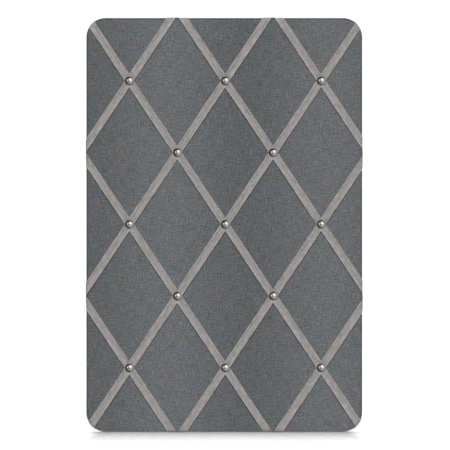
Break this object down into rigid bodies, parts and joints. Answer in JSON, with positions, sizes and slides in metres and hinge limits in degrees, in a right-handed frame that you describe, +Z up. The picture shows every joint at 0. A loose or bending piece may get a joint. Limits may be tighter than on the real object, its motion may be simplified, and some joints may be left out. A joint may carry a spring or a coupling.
{
  "type": "ribbon memo board",
  "caption": "Upright rectangular padded memo board with rounded corners: fabric front, a lattice of crossed ribbons held by domed nails, and D-ring hangers on the back.",
  "frame": {"origin": "on the wall plane that the bumpers touch, behind the middle of the board", "axes": "+Z up, the front faces -Y, +X to the right seen from the front, +Y into the wall"},
  "size_m": [0.4026, 0.0271, 0.6026],
  "materials": {
    "fibreboard": "raw fibreboard",
    "foam": "open-cell foam",
    "cover_fabric": "matt linen-look weave with slubs",
    "ribbon": "soft twill ribbon with a woven edge",
    "nickel": "satin nickel plate",
    "back_lining": "matt non-woven lining on card",
    "zinc_plate": "bright zinc plate",
    "bumper_rubber": "matt rubber"
  },
  "bodies": {
    "board": {"core_board": "fibreboard", "padding": "foam", "fabric_cover": "cover_fabric", "back_panel": "back_lining", "ribbon_falling_1": "ribbon", "ribbon_falling_2": "ribbon", "ribbon_falling_3": "ribbon", "ribbon_falling_4": "ribbon", "ribbon_falling_5": "ribbon", "ribbon_rising_1": "ribbon", "ribbon_rising_2": "ribbon", "ribbon_rising_3": "ribbon", "ribbon_rising_4": "ribbon", "ribbon_rising_5": "ribbon", "domed_nail_1": "nickel", "domed_nail_2": "nickel", "domed_nail_3": "nickel", "domed_nail_4": "nickel", "domed_nail_5": "nickel", "domed_nail_6": "nickel", "domed_nail_7": "nickel", "domed_nail_8": "nickel", "domed_nail_9": "nickel", "domed_nail_10": "nickel", "domed_nail_11": "nickel", "domed_nail_12": "nickel", "domed_nail_13": "nickel", "hanger_strap_left": "zinc_plate", "hanger_strap_right": "zinc_plate", "hanger_screw_left": "zinc_plate", "hanger_screw_right": "zinc_plate", "bumper_top_left": "bumper_rubber", "bumper_top_right": "bumper_rubber", "bumper_bottom_left": "bumper_rubber", "bumper_bottom_right": "bumper_rubber"},
    "left_ring": {"hanger_ring_left": "zinc_plate"},
    "right_ring": {"hanger_ring_right": "zinc_plate"}
  },
  "joints": [
    {"name": "left_ring_swing", "type": "hinge", "parent": "board", "child": "left_ring", "pos_m": [-0.12, -0.0028, 0.2377], "axis": [-1, 0, 0], "range_deg": [0, 180]},
    {"name": "right_ring_swing", "type": "hinge", "parent": "board", "child": "right_ring", "pos_m": [0.12, -0.0028, 0.2377], "axis": [-1, 0, 0], "range_deg": [0, 180]}
  ]
}
